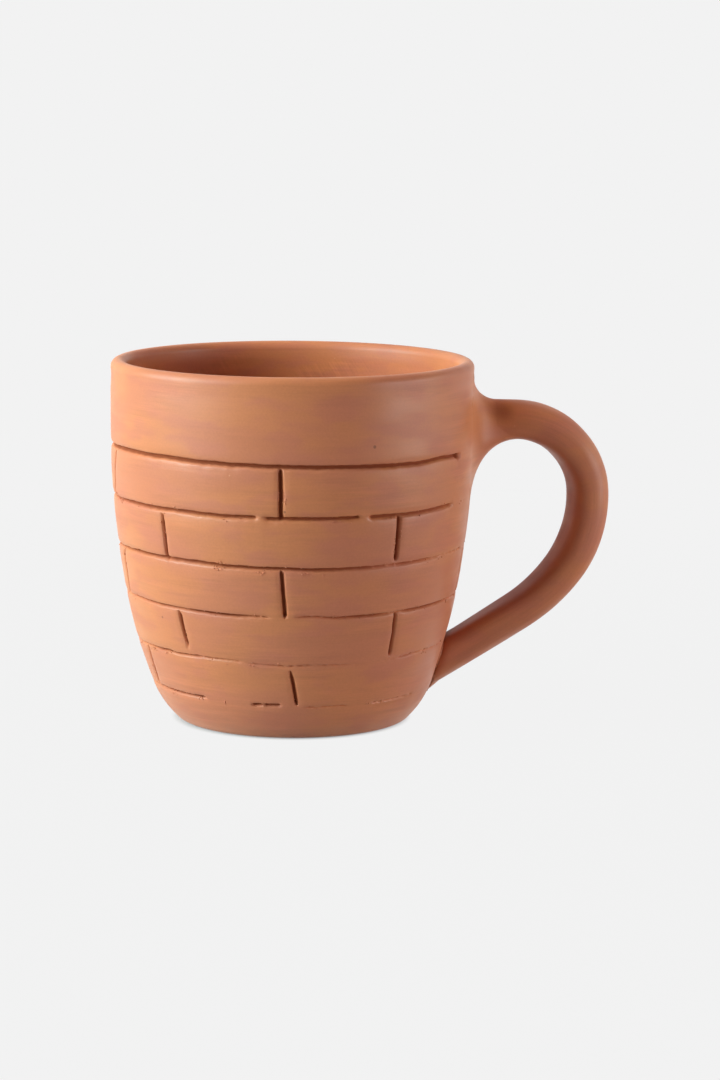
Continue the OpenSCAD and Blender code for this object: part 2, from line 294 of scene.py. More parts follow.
# Lip, inside and foot carry on the same columns
LIP_STEPS = 10
INNER_STEP = 3.0
FLOOR_STEPS = 5
FOOT_STEPS = 4
top_angle = column_angles(np.array([0.0]))[0]
foot_angle = wall_angle[-1]
lip_turn = [math.pi * (LIP_STEPS - i) / LIP_STEPS for i in range(1, LIP_STEPS)]
inner_steps = round(inner_starts[-1] / INNER_STEP)
inner_s = [inner_starts[-1] * (inner_steps - i) / inner_steps for i in range(inner_steps + 1)]
floor_r = inner_arcs[-1][0]
floor_s = [inner_starts[-1] + floor_r * (FLOOR_STEPS - i) / FLOOR_STEPS for i in range(1, FLOOR_STEPS)]
foot_s = [outer_starts[-1] + outer_arcs[-1][0] * i / FOOT_STEPS for i in range(1, FOOT_STEPS)]


def level_ring(radius, height, angle):
    """One ring of points of the cup."""
    a = np.radians(angle)
    return np.stack([radius * np.cos(a), radius * np.sin(a), np.full_like(a, height)], axis=-1)


rings = []
for s in floor_s + inner_s:
    radius, height = along_wall(inner_arcs, s)
    rings.append(level_ring(radius, float(height), top_angle))
for turn in lip_turn:
    radius = RIM_R - LIP_R + LIP_R * math.cos(turn)
    rings.append(level_ring(radius, LIP_Z + LIP_R * math.sin(turn), top_angle))
inside_rings = len(rings)
wall_a = np.radians(wall_angle)
wall_points = np.stack([wall_radius * np.cos(wall_a), wall_radius * np.sin(wall_a), wall_height], axis=-1)
rings += list(wall_points)
wall_rings = len(wall_points)
for s in foot_s:
    rings.append(level_ring(along_wall(outer_arcs, s)[0], 0.0, foot_angle))


def stand(name, data):
    """Puts new data into the scene as an object."""
    piece = bpy.data.objects.new(name, data)
    bpy.context.scene.collection.objects.link(piece)
    return piece


def closed_tube(name, rings, start, end):
    """Mesh of rings joined side by side, closed at both ends on a middle point."""
    count, sides = len(rings), len(rings[0])
    points = np.concatenate([np.concatenate(rings), [start, end]]) * MM
    first, last = count * sides, count * sides + 1
    faces = []
    for i in range(count - 1):
        for k in range(sides):
            n = (k + 1) % sides
            faces.append((i * sides + k, (i + 1) * sides + k, (i + 1) * sides + n, i * sides + n))
    for k in range(sides):
        n = (k + 1) % sides
        faces.append((first, k, n))
        faces.append((last, (count - 1) * sides + n, (count - 1) * sides + k))
    mesh = bpy.data.meshes.new(name)
    mesh.from_pydata(points.tolist(), [], faces)
    mesh.update()
    return stand(name, mesh)


# The lower wall swells a little, and the foot was thrown slightly off centre, towards the handle
SWELL = 0.28
SWELL_Z = 26.0
SWELL_REACH = 13.0
FOOT_SHIFT = 0.5
SHIFT_UP_TO = 20.0
for ring in rings[inside_rings:]:
    ring[:, :2] *= 1 + SWELL / MEAN_R * np.exp(-((ring[:, 2:] - SWELL_Z) / SWELL_REACH) ** 2)
    ring[:, 0] += FOOT_SHIFT * np.clip(1 - ring[:, 2] / SHIFT_UP_TO, 0, 1)
body = closed_tube("cup_body", rings, (0, 0, FLOOR_T), (FOOT_SHIFT, 0, 0))


def mark_points(piece, name, values):
    """Stores one number on each point of a piece."""
    attribute = piece.data.attributes.new(name, "FLOAT", "POINT")
    attribute.data.foreach_set("value", np.asarray(values, np.float32))


def on_wall(values, elsewhere):
    """Spreads values of the outer wall over the whole cup, with one value for the rest of it."""
    full = np.full(len(body.data.vertices), elsewhere, float)
    sides = len(columns)
    full[inside_rings * sides:(inside_rings + wall_rings) * sides] = values.ravel()
    return full


for kind, off, half, deep in (
    ("level", level_off, level_half, level_deep),
    ("upright", upright_off, upright_half, upright_deep),
):
    mark_points(body, kind + "_off", on_wall(off, FAR_OFF))
    mark_points(body, kind + "_half", on_wall(half, 1.0))
    mark_points(body, kind + "_deep", on_wall(deep, 0.0))
FOOT_FADE = 2 * MM
point_heights = np.array([v.co.z for v in body.data.vertices])
mark_points(body, "off_foot", np.clip(point_heights / FOOT_FADE, 0, 1))
on_inside = np.zeros(len(body.data.vertices))
on_inside[:(inside_rings - LIP_STEPS) * len(columns)] = 1.0
mark_points(body, "inside", on_inside)


def put(tree, kind, wires=(), **settings):
    """Adds a node with its settings, and its inputs by name or number from sockets or plain values."""
    node = tree.nodes.new(kind)
    for key, value in settings.items():
        setattr(node, key, value)
    for key, value in dict(wires).items():
        socket = node.inputs[key]
        if isinstance(value, bpy.types.NodeSocket):
            tree.links.new(value, socket)
        else:
            socket.default_value = value
    return node


def calc(tree, operation, *values, clamp=False):
    """One step of arithmetic on sockets or plain numbers."""
    return put(tree, "ShaderNodeMath", enumerate(values), operation=operation, use_clamp=clamp).outputs[0]


def times(tree, a, b):
    """Product of two sockets or plain numbers."""
    return calc(tree, "MULTIPLY", a, b)


def vector(tree, operation, *values):
    """One step of arithmetic on vectors."""
    return put(tree, "ShaderNodeVectorMath", enumerate(values), operation=operation).outputs[0]


def length(tree, value):
    """Length of a vector."""
    return put(tree, "ShaderNodeVectorMath", {0: value}, operation="LENGTH").outputs["Value"]


def ramp(tree, value, low, high, to_low=0.0, to_high=1.0):
    """Goes smoothly from one level to another as a value passes from low to high."""
    wires = {"Value": value, "From Min": low, "From Max": high, "To Min": to_low, "To Max": to_high}
    return put(tree, "ShaderNodeMapRange", wires, interpolation_type="SMOOTHSTEP").outputs["Result"]


def stored(tree, name, kind="FLOAT"):
    """Reads a value stored on the points."""
    return put(tree, "GeometryNodeInputNamedAttribute", {"Name": name}, data_type=kind).outputs["Attribute"]


def noted(tree, geometry, name, kind, value):
    """Stores a value on the points of a geometry."""
    wires = {"Geometry": geometry, "Name": name, "Value": value}
    return put(tree, "GeometryNodeStoreNamedAttribute", wires, data_type=kind, domain="POINT").outputs[0]


def pushed(tree, geometry, amount):
    """Moves the points of a geometry out along its own faces' direction."""
    normal = put(tree, "GeometryNodeInputNormal").outputs[0]
    push = put(tree, "ShaderNodeVectorMath", {0: normal, "Scale": amount}, operation="SCALE").outputs[0]
    return put(tree, "GeometryNodeSetPosition", {"Geometry": geometry, "Offset": push}).outputs[0]


def new_tree(name, inputs):
    """Starts a Geometry Nodes tree with a mesh in, a mesh out and named inputs, and gives those inputs."""
    tree = bpy.data.node_groups.new(name, "GeometryNodeTree")
    tree.interface.new_socket("Geometry", in_out="INPUT", socket_type="NodeSocketGeometry")
    tree.interface.new_socket("Geometry", in_out="OUTPUT", socket_type="NodeSocketGeometry")
    for label, value in inputs.items():
        kind = "NodeSocketObject" if value is None else "NodeSocketFloat"
        socket = tree.interface.new_socket(label, in_out="INPUT", socket_type=kind)
        if value is not None:
            socket.default_value = value
    return tree, tree.nodes.new("NodeGroupInput").outputs


def finish_tree(tree, geometry, material):
    """Ends a tree with plain geometry in its clay."""
    smooth = put(tree, "GeometryNodeSetShadeSmooth", {"Geometry": geometry})
    real = put(tree, "GeometryNodeRealizeInstances", {"Geometry": smooth.outputs[0]})
    clay = put(tree, "GeometryNodeSetMaterial", {"Geometry": real.outputs[0], "Material": material})
    put(tree, "NodeGroupOutput", {0: clay.outputs[0]})


def make_plain(piece, tree, inputs, material):
    """Runs a tree on a piece and keeps the result as its plain mesh."""
    modifier = piece.modifiers.new("work", "NODES")
    modifier.node_group = tree
    sockets = {s.name: s.identifier for s in tree.interface.items_tree if s.in_out == "INPUT"}
    for label, value in inputs.items():
        modifier[sockets[label]] = value
    view = bpy.context.evaluated_depsgraph_get()
    mesh = bpy.data.meshes.new_from_object(piece.evaluated_get(view), depsgraph=view)
    piece.modifiers.remove(modifier)
    piece.data = mesh
    mesh.name = piece.name
    mesh.materials.clear()
    mesh.materials.append(material)


def srgb(r, g, b):
    """Colour from its 0 to 255 values."""
    channels = [c / 255 for c in (r, g, b)]
    return tuple(c / 12.92 if c <= 0.04045 else ((c + 0.055) / 1.055) ** 2.4 for c in channels) + (1.0,)


def blend_colour(tree, factor, a, b, kind="MIX"):
    """Mixes two colours."""
    wires = {"Factor": factor, 6: a, 7: b}
    return put(tree, "ShaderNodeMix", wires, data_type="RGBA", blend_type=kind).outputs[2]


def painted(tree, name, output="Fac"):
    """Reads a value of the points in a material."""
    return put(tree, "ShaderNodeAttribute", (), attribute_name=name).outputs[output]


# The hand's lines are strong up to one distance from the cup's axis, and faint on level clay past the next
GLOSS = 0.34
CUT_GLOSS = 0.06
LINES_UP_TO = 45.5
LINES_GONE = 48.5
LINE_SHADE = 0.022
STREAK_SHADE = 0.03
STROKE_SHADE = 0.05
STROKE_SLANT = math.radians(-60)
GRAIN_SHADE = 0.03


def fired_clay(name, main, warm, cool, deep, rough=0.44, strands=False):
    """Unglazed fired clay: warm patches, faint lines left by the hand, grains, and darker, rougher clay in
    cuts, with painted shade that deepens with each cut's depth and lies in the handle's crease and pinch.

    The lines run level, or with strands along a pulled piece."""
    material = bpy.data.materials.new(name)
    material.use_nodes = True
    tree = material.node_tree
    shader = tree.nodes["Principled BSDF"]
    place = put(tree, "ShaderNodeTexCoord").outputs["Object"]
    from_axis = length(tree, vector(tree, "MULTIPLY", place, (1.0, 1.0, 0.0)))
    turned = ramp(tree, from_axis, LINES_UP_TO * MM, LINES_GONE * MM, 1.0, 1.0 if strands else 0.25)
    along = painted(tree, "strand", "Vector") if strands else place

    def noise(size, stretch, detail, roughness=0.5, shift=0.0, where=place):
        scaled = put(tree, "ShaderNodeMapping", {
            "Vector": where, "Location": (shift, shift * 0.7, shift * 1.3),
            "Scale": (1 / size, 1 / size, stretch / size),
        })
        wires = {"Vector": scaled.outputs[0], "Scale": 1.0, "Detail": detail, "Roughness": roughness}
        return put(tree, "ShaderNodeTexNoise", wires).outputs["Fac"]

    def swing(value, low, high, by):
        return ramp(tree, value, low, high, -by, by)

    patches = noise(26 * MM, 2.2, 2.0, 0.45, shift=3.0)
    small_patches = noise(12 * MM, 2.6, 3.0, 0.45, shift=8.0)
    streaks = noise(16 * MM, 9.0, 3.0, 0.5, shift=11.0, where=along)
    brush_patches = noise(18 * MM, 2.0, 1.0, shift=14.0)
    lines = noise(26 * MM, 34.0, 3.0, 0.55, shift=1.0, where=along)
    fine_lines = noise(12 * MM, 40.0, 3.0, 0.6, shift=5.0, where=along)
    grain = noise(0.5 * MM, 1.0, 2.0)
    colour = blend_colour(tree, ramp(tree, patches, 0.38, 0.62), main, warm)
    colour = blend_colour(tree, ramp(tree, small_patches, 0.46, 0.66, 0.0, 0.6), colour, cool)
    shade = calc(tree, "ADD", swing(lines, 0.25, 0.75, LINE_SHADE), swing(fine_lines, 0.25, 0.75, LINE_SHADE))
    shade = calc(tree, "ADD", shade, swing(streaks, 0.35, 0.65, STREAK_SHADE))
    brushed = times(tree, turned, ramp(tree, brush_patches, 0.42, 0.62, 0.35, 1.3))
    shade = calc(tree, "MULTIPLY_ADD", shade, brushed, 1.0)
    inside = painted(tree, "inside")
    slant = (0.0, STROKE_SLANT, 0.0)
    slanted = put(tree, "ShaderNodeMapping", {"Vector": place, "Rotation": slant}).outputs[0]
    strokes = noise(9 * MM, 16.0, 2.0, shift=6.0, where=slanted)
    stroked = times(tree, inside, ramp(tree, brush_patches, 0.45, 0.6))
    shade = calc(tree, "MULTIPLY_ADD", swing(strokes, 0.3, 0.7, STROKE_SHADE), stroked, shade)
    shade = calc(tree, "ADD", shade, swing(grain, 0.2, 0.8, GRAIN_SHADE))
    grey = put(tree, "ShaderNodeCombineColor", {0: shade, 1: shade, 2: shade}).outputs[0]
    colour = blend_colour(tree, 1.0, colour, grey, "MULTIPLY")

    def specks(size, share, radius):
        scaled = put(tree, "ShaderNodeMapping", {"Vector": place, "Scale": (1 / size,) * 3})
        cells = put(tree, "ShaderNodeTexVoronoi", {"Vector": scaled.outputs[0], "Scale": 1.0})
        pick = put(tree, "ShaderNodeSeparateColor", {0: cells.outputs["Color"]})
        chosen = calc(tree, "LESS_THAN", pick.outputs[0], share)
        reach = times(tree, pick.outputs[1], radius)
        near = ramp(tree, cells.outputs["Distance"], reach, times(tree, reach, 0.4), 0.0, 1.0)
        return times(tree, chosen, near)

    dark_specks = specks(7.0 * MM, 0.32, 0.085)
    pale_specks = specks(5.0 * MM, 0.10, 0.055)
    colour = blend_colour(tree, times(tree, dark_specks, 0.65), colour, srgb(110, 62, 42))
    colour = blend_colour(tree, times(tree, pale_specks, 0.45), colour, srgb(226, 170, 132))
    # The stored cut value gives the cut clay's own darker colour, plus painted shade that deepens with a
    # cut's depth and lies in the handle's crease and pinch
    cut = painted(tree, "cut")
    colour = blend_colour(tree, ramp(tree, cut, 0.22, 0.85, 0.0, 0.85), colour, deep)
    tree.links.new(colour, shader.inputs["Base Color"])
    worn = ramp(tree, small_patches, 0.3, 0.7, rough - 0.05, rough + 0.07)
    worn = calc(tree, "ADD", worn, swing(grain, 0.2, 0.8, 0.04))
    tree.links.new(calc(tree, "MULTIPLY_ADD", cut, 0.4, worn), shader.inputs["Roughness"])
    dull = calc(tree, "MAXIMUM", cut, times(tree, inside, 0.5))
    tree.links.new(ramp(tree, dull, 0.0, 0.6, GLOSS, CUT_GLOSS), shader.inputs["Specular IOR Level"])
    height = times(tree, calc(tree, "MULTIPLY_ADD", fine_lines, 0.7, lines), brushed)
    height = calc(tree, "ADD", height, times(tree, grain, 0.3))
    height = calc(tree, "SUBTRACT", height, times(tree, dark_specks, 1.2))
    bump = put(tree, "ShaderNodeBump", {"Strength": 0.3, "Distance": 0.08 * MM, "Height": height})
    tree.links.new(bump.outputs[0], shader.inputs["Normal"])
    shader.inputs["Diffuse Roughness"].default_value = 0.5
    shader.inputs["Sheen Weight"].default_value = 0.05
    shader.inputs["Sheen Roughness"].default_value = 0.5
    shader.inputs["Sheen Tint"].default_value = srgb(250, 215, 195)
    return material


CLAY_MAIN = srgb(200, 121, 87)
CLAY_WARM = srgb(205, 126, 84)
CLAY_COOL = srgb(196, 116, 90)
# Colour of the clay inside cuts, which also serves as painted shade in their depths and in the handle's
# crease and pinch
CUT_CLAY_AND_SHADE = srgb(136, 64, 38)
thrown_clay = fired_clay("thrown clay", CLAY_MAIN, CLAY_WARM, CLAY_COOL, CUT_CLAY_AND_SHADE)

# The cutting tool leans, so each level cut has a steep upper side and an easy lower one, and it throws
# up a small burr along both edges. The hand wanders a little.
cutting, cut_in = new_tree("brick cuts", {
    "Wander": 0.14, "Ragged": 0.45, "Burr Height": 0.07, "Burr Width": 0.3, "Edge Roll": 0.2,
    "Roll Width": 1.1, "Throwing": 0.07, "Set In": 0.05, "Lip Hollow": 0.16,
    "Crumbs": 480.0, "Crumb Size": 0.26, "Crumbs Below": 62.0, "Seed": 4.0,
})
place_mm = vector(cutting, "MULTIPLY", put(cutting, "GeometryNodeInputPosition").outputs[0], (1 / MM,) * 3)


def hand_noise(scale, stretch, detail, shift):
    """Noise over the cup between -1 and 1, for places in millimetres."""
    scaled = vector(cutting, "MULTIPLY", place_mm, (scale, scale, scale * stretch))
    seed = cut_in["Seed"]
    by = put(cutting, "ShaderNodeCombineXYZ", {0: seed, 1: times(cutting, seed, 1.7), 2: shift}).outputs[0]
    wires = {"Vector": vector(cutting, "ADD", scaled, by), "Scale": 1.0, "Detail": detail}
    noise = put(cutting, "ShaderNodeTexNoise", wires).outputs["Fac"]
    return calc(cutting, "MULTIPLY_ADD", noise, 2.0, -1.0)


wander = times(cutting, hand_noise(0.25, 1.0, 2.0, 3.0), cut_in["Wander"])
ragged = times(cutting, hand_noise(0.8, 1.0, 3.0, 9.0), cut_in["Ragged"])
chips = hand_noise(1.3, 1.0, 2.0, 15.0)
skips = times(cutting, hand_noise(0.9, 1.5, 2.0, 27.0), 1.6)


def tool_cut(kind, above, below):
    """Depth, edge and burr of one kind of cut.

    Above and below are the shares of its half width that its two slopes take."""
    deep = stored(cutting, kind + "_deep")
    half = times(cutting, stored(cutting, kind + "_half"), calc(cutting, "ADD", 1.0, ragged))
    off = calc(cutting, "ADD", stored(cutting, kind + "_off"), wander)
    centred = calc(cutting, "MULTIPLY_ADD", half, (below - above) / 2, off)
    across = calc(cutting, "DIVIDE", centred, half)
    from_above = ramp(cutting, across, 1.0, 1.0 - above)
    from_below = ramp(cutting, across, -1.0, -1.0 + below)
    held = ramp(cutting, calc(cutting, "MULTIPLY_ADD", deep, 2.0, skips), 0.35, 0.95)
    depth = times(cutting, calc(cutting, "MINIMUM", from_above, from_below), times(cutting, deep, held))
    past_edge = calc(cutting, "SUBTRACT", calc(cutting, "ABSOLUTE", centred), half)
    bite = calc(cutting, "MULTIPLY", deep, 1.6, clamp=True)
    spread = calc(cutting, "DIVIDE", past_edge, cut_in["Burr Width"])
    hill = calc(cutting, "EXPONENT", times(cutting, times(cutting, spread, spread), -1.0))
    uneven = calc(cutting, "MULTIPLY_ADD", chips, 1.1, 0.5)
    burr = times(cutting, times(cutting, hill, cut_in["Burr Height"]), times(cutting, uneven, bite))
    roll = times(cutting, ramp(cutting, past_edge, cut_in["Roll Width"], -0.3), cut_in["Edge Roll"])
    edge = calc(cutting, "SUBTRACT", burr, times(cutting, roll, bite))
    return depth, edge, times(cutting, hill, bite)


level_depth, level_edge, level_burr = tool_cut("level", 0.5, 1.2)
upright_depth, upright_edge, upright_burr = tool_cut("upright", 1.1, 0.5)
cut_depth = calc(cutting, "MAXIMUM", level_depth, upright_depth)
cut_edge = calc(cutting, "ADD", level_edge, upright_edge)
throwing = times(cutting, hand_noise(0.012, 18.0, 1.0, 21.0), cut_in["Throwing"])
# The rib leaves a slight hollow just under the lip
HOLLOW_STARTS, HOLLOW_FULL, HOLLOW_FADES, HOLLOW_ENDS = 82.0, 86.6, 86.8, 88.4
height_mm = put(cutting, "ShaderNodeSeparateXYZ", {0: place_mm}).outputs[2]
hollow = times(cutting, ramp(cutting, height_mm, HOLLOW_STARTS, HOLLOW_FULL),
               ramp(cutting, height_mm, HOLLOW_ENDS, HOLLOW_FADES))
throwing = calc(cutting, "SUBTRACT", throwing, times(cutting, hollow, cut_in["Lip Hollow"]))
# No burr stands out past the wall's own size, and the foot's edge doesn't move
LEAST_IN = 0.005
DARKEST_AT = 1.0
out_move = calc(cutting, "SUBTRACT", calc(cutting, "ADD", cut_edge, throwing), cut_depth)
out_move = calc(cutting, "MINIMUM", calc(cutting, "SUBTRACT", out_move, cut_in["Set In"]), -LEAST_IN)
out_move = times(cutting, times(cutting, out_move, stored(cutting, "off_foot")), MM)
# Painted shade: the clay is darker the deeper the cut, on top of the cut clay's own darker colour
cut_clay_and_shade = calc(cutting, "DIVIDE", cut_depth, DARKEST_AT, clamp=True)
moved = pushed(cutting, noted(cutting, cut_in["Geometry"], "cut", "FLOAT", cut_clay_and_shade), out_move)
# Crumbs of dry clay stick along the cuts, in clusters. Their number is for each square centimetre of burr.
PER_CM2 = 1e4
FULL_TURN = 6.28
clusters = ramp(cutting, hand_noise(0.35, 1.0, 2.0, 41.0), 0.05, 0.5)
crumbly = times(cutting, calc(cutting, "MAXIMUM", level_burr, upright_burr), clusters)
crumbly = times(cutting, crumbly, calc(cutting, "LESS_THAN", height_mm, cut_in["Crumbs Below"]))
crumbly = times(cutting, crumbly, times(cutting, cut_in["Crumbs"], PER_CM2))
spots = put(cutting, "GeometryNodeDistributePointsOnFaces", {"Mesh": moved, "Density": crumbly, "Seed": 3})
crumb_r = times(cutting, cut_in["Crumb Size"], MM)
crumb = put(cutting, "GeometryNodeMeshIcoSphere", {"Radius": crumb_r, "Subdivisions": 1})


def at_random(low, high, seed):
    """Three random numbers for each crumb."""
    wires = {0: low, 1: high, "Seed": seed}
    return put(cutting, "FunctionNodeRandomValue", wires, data_type="FLOAT_VECTOR").outputs[0]


crumbs = put(cutting, "GeometryNodeInstanceOnPoints", {
    "Points": spots.outputs["Points"], "Instance": crumb.outputs[0],
    "Rotation": at_random((0, 0, 0), (FULL_TURN,) * 3, 5),
    "Scale": at_random((0.4, 0.4, 0.4), (1.4, 1.1, 0.9), 6),
})
whole = put(cutting, "GeometryNodeJoinGeometry")
cutting.links.new(moved, whole.inputs[0])
cutting.links.new(crumbs.outputs[0], whole.inputs[0])
finish_tree(cutting, whole.outputs[0], thrown_clay)
make_plain(body, cutting, {"Wander": 0.14}, thrown_clay)
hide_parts("thrown_body")
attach(body, "root")

# Pulled handle
# A strip of the same clay is pulled long with a wet hand, bent into a loop and pressed on at both ends.
# Its outer side is round, its inner side is flatter, it twists a little and it thins towards the lower end.
HANDLE_Z = CUP_H - 15.5
LOW_JOINT_Z = 11.9
LOOP_K = 0.998
ARM_L = 11.5 * LOOP_K
bends = [(19.0 * LOOP_K, 85.0), (31.0 * LOOP_K, 40.0), (44.0 * LOOP_K, 21.0)]
START_HEADING = math.radians(-2.0)
END_HEADING = START_HEADING - math.radians(sum(turn for radius, turn in bends))
LINE_STEP = 1.2
# How far the ends go into the wall, and the length over which the lower end turns level with the wall
END_SINK = 1.6
END_TURN = 14.0
profile_r, profile_z = along_wall(outer_arcs, np.linspace(0, outer_starts[-1], 600))


def wall_r(z):
    """Radius of the outer wall at heights above the floor."""
    return np.interp(z, profile_z[::-1], profile_r[::-1])


def handle_route():
    """Middle line of the handle, from the wall round to the wall, as places and headings."""
    heading = START_HEADING
    x, z = RIM_R, HANDLE_Z
    steps = round(ARM_L / LINE_STEP)
    along = [-END_SINK] + [ARM_L * i / steps for i in range(steps + 1)]
    line = [(x + t * math.cos(heading), z + t * math.sin(heading), heading) for t in along]
    for radius, turn in bends:
        x, z, heading = line[-1]
        steps = round(radius * math.radians(turn) / LINE_STEP)
        for i in range(1, steps + 1):
            now = heading - math.radians(turn) * i / steps
            out_x = x + radius * (math.sin(heading) - math.sin(now))
            line.append((out_x, z + radius * (math.cos(now) - math.cos(heading)), now))
    x, z, heading = line[-1]
    span = math.hypot(x - float(wall_r(LOW_JOINT_Z)), z - LOW_JOINT_Z)
    steps = round(span / LINE_STEP)
    along = [span * i / steps for i in range(1, steps + 1)] + [span + END_SINK]
    return line + [(x + t * math.cos(heading), z + t * math.sin(heading), heading) for t in along]


route = np.array(handle_route())
route_length = np.concatenate([[0], np.cumsum(np.hypot(*np.diff(route[:, :2], axis=0).T))])
route_share = route_length / route_length[-1]
# Reach of the section out, in and to each side, at shares of the line's length
SECTION_AT = [0.0, 0.085, 0.15, 0.27, 0.37, 0.5, 0.7, 0.85, 0.91, 0.95, 0.968, 1.0]
outer_reach, inner_reach, side_reach = [np.interp(route_share, SECTION_AT, reach) for reach in (
    [5.05, 5.05, 5.1, 5.15, 5.24, 5.25, 4.72, 4.45, 4.2, 4.0, 3.95, 3.6],
    [4.7, 4.7, 4.7, 4.88, 4.45, 4.35, 4.5, 4.7, 4.7, 4.8, 4.9, 4.5],
    [5.6, 4.9, 6.0, 6.2, 6.2, 6.3, 6.2, 6.1, 6.1, 6.1, 6.0, 4.9],
)]
TWIST_AT = [0.0, 0.18, 0.38, 0.55, 0.85, 1.0]
twist = np.interp(route_share, TWIST_AT, np.radians([0, 0, 12, 12, 0, 0]))
end_lean = math.asin((DRAW_IN_Z - LOW_JOINT_Z) / BELLY_R)
square_way = np.stack([-np.sin(route[:, 2]), np.cos(route[:, 2])], axis=1)
wall_way = -np.array([math.sin(end_lean), math.cos(end_lean)]) / abs(math.cos(END_HEADING + end_lean))
turning = np.clip(1 - (route_length[-1] - route_length - END_SINK) / END_TURN, 0, 1)[:, None]
outer_way = square_way * (1 - turning) + wall_way * turning

SECTION_SIDES = 48
FLAT_INNER = 3.0


def section():
    """Shares of the side and outer reach round the handle: round outside, flatter inside."""
    points = []
    for k in range(SECTION_SIDES):
        a = 2 * math.pi * k / SECTION_SIDES
        power = 2 / FLAT_INNER if math.sin(a) < 0 else 1.0
        points.append([math.copysign(abs(way) ** power, way) for way in (math.cos(a), math.sin(a))])
    return points


def guide(name, points, edges):
    """A line of points in metres for a tree to read."""
    mesh = bpy.data.meshes.new(name)
    mesh.from_pydata(points, edges, [])
    return stand(name, mesh)


line_of = [(i, i + 1) for i in range(len(route) - 1)]
handle_line = guide("handle line", [(x * MM, 0.0, z * MM) for x, z, a in route], line_of)
for name, values in (
    ("outer_reach", outer_reach * MM), ("inner_reach", inner_reach * MM), ("side_reach", side_reach * MM),
    ("twist", twist), ("outer_x", outer_way[:, 0]), ("outer_z", outer_way[:, 1]),
):
    mark_points(handle_line, name, values)
ring_of = [(k, (k + 1) % SECTION_SIDES) for k in range(SECTION_SIDES)]
handle_section = guide("handle section", [(x * MM, y * MM, 0.0) for x, y in section()], ring_of)

pulled_clay = fired_clay("pulled clay", CLAY_MAIN, CLAY_WARM, CLAY_COOL, CUT_CLAY_AND_SHADE, strands=True)
pulling, pull_in = new_tree("pulled handle", {
    "Line": None, "Section": None, "Hand Marks": 0.25, "Marks Start": 52.0, "Marks Full": 62.0,
})


def guide_curve(name):
    """The curve along one of the guides."""
    shape = put(pulling, "GeometryNodeObjectInfo", {"Object": pull_in[name]}).outputs["Geometry"]
    return put(pulling, "GeometryNodeMeshToCurve", {"Mesh": shape}).outputs[0]


spot = put(pulling, "GeometryNodeInputPosition").outputs[0]
line_curve = noted(pulling, guide_curve("Line"), "middle", "FLOAT_VECTOR", spot)
run_along = put(pulling, "GeometryNodeSplineParameter").outputs["Length"]
line_curve = noted(pulling, line_curve, "run", "FLOAT", run_along)
share = vector(pulling, "MULTIPLY", spot, (1 / MM,) * 3)
section_curve = noted(pulling, guide_curve("Section"), "share", "FLOAT_VECTOR", share)
swept = put(pulling, "GeometryNodeCurveToMesh", {
    "Curve": line_curve, "Profile Curve": section_curve, "Fill Caps": True,
}).outputs["Mesh"]
shares = put(pulling, "ShaderNodeSeparateXYZ", {0: stored(pulling, "share", "FLOAT_VECTOR")}).outputs
outside = calc(pulling, "GREATER_THAN", shares[1], 0.0)
reach = put(pulling, "ShaderNodeMix", {
    "Factor": outside, "A": stored(pulling, "inner_reach"), "B": stored(pulling, "outer_reach"),
}, data_type="FLOAT").outputs[0]
plain_out = times(pulling, shares[1], reach)
plain_side = times(pulling, shares[0], stored(pulling, "side_reach"))
twist_cos = calc(pulling, "COSINE", stored(pulling, "twist"))
twist_sin = calc(pulling, "SINE", stored(pulling, "twist"))
out_by = calc(pulling, "SUBTRACT", times(pulling, plain_out, twist_cos),
              times(pulling, plain_side, twist_sin))
side_by = calc(pulling, "MULTIPLY_ADD", plain_side, twist_cos, times(pulling, plain_out, twist_sin))
offset = put(pulling, "ShaderNodeCombineXYZ", {
    0: times(pulling, out_by, stored(pulling, "outer_x")), 1: side_by,
    2: times(pulling, out_by, stored(pulling, "outer_z")),
}).outputs[0]
# Where each place lies among the strands that the pulling hand leaves, in metres
strand = put(pulling, "ShaderNodeCombineXYZ", {
    0: stored(pulling, "run"), 1: times(pulling, shares[0], 2 * MM),
    2: calc(pulling, "MULTIPLY_ADD", shares[1], 5 * MM, times(pulling, shares[0], 3 * MM)),
}).outputs[0]
swept = noted(pulling, swept, "strand", "FLOAT_VECTOR", strand)
placed = vector(pulling, "ADD", stored(pulling, "middle", "FLOAT_VECTOR"), offset)
shaped = put(pulling, "GeometryNodeSetPosition", {"Geometry": swept, "Position": placed}).outputs[0]
# Long shallow dents left by the wet hand, none near the wall
MARK_LEVEL = 0.62
marks = put(pulling, "ShaderNodeTexNoise", {
    "Vector": vector(pulling, "MULTIPLY", spot, (90.0, 200.0, 90.0)), "Scale": 1.0, "Detail": 1.5,
}).outputs["Fac"]
from_axis = length(pulling, vector(pulling, "MULTIPLY", spot, (1 / MM, 1 / MM, 0.0)))
grown = ramp(pulling, from_axis, pull_in["Marks Start"], pull_in["Marks Full"])
marks = times(pulling, times(pulling, calc(pulling, "SUBTRACT", marks, MARK_LEVEL), grown),
              times(pulling, pull_in["Hand Marks"], MM))
finish_tree(pulling, pushed(pulling, shaped, marks), pulled_clay)
handle = stand("pulled_handle", bpy.data.meshes.new("pulled_handle"))
make_plain(handle, pulling, {"Line": handle_line, "Section": handle_section}, pulled_clay)
for line in (handle_line, handle_section):
    bpy.data.objects.remove(line)
# Painted shade: the clay is darkened in the crease where the lower end is pressed on, and on the sides
# pinched at the upper end, where shade falls
CREASE_WIDE = 1.4
CREASE_BELOW = 25.0
PINCH_R = 52.0
PINCH_REACH = 4.4
PINCH_ABOVE = 70.0
PINCH_RISE = 6.0
PINCH_ASIDE = 4.0
PINCH_SHADE = 0.58


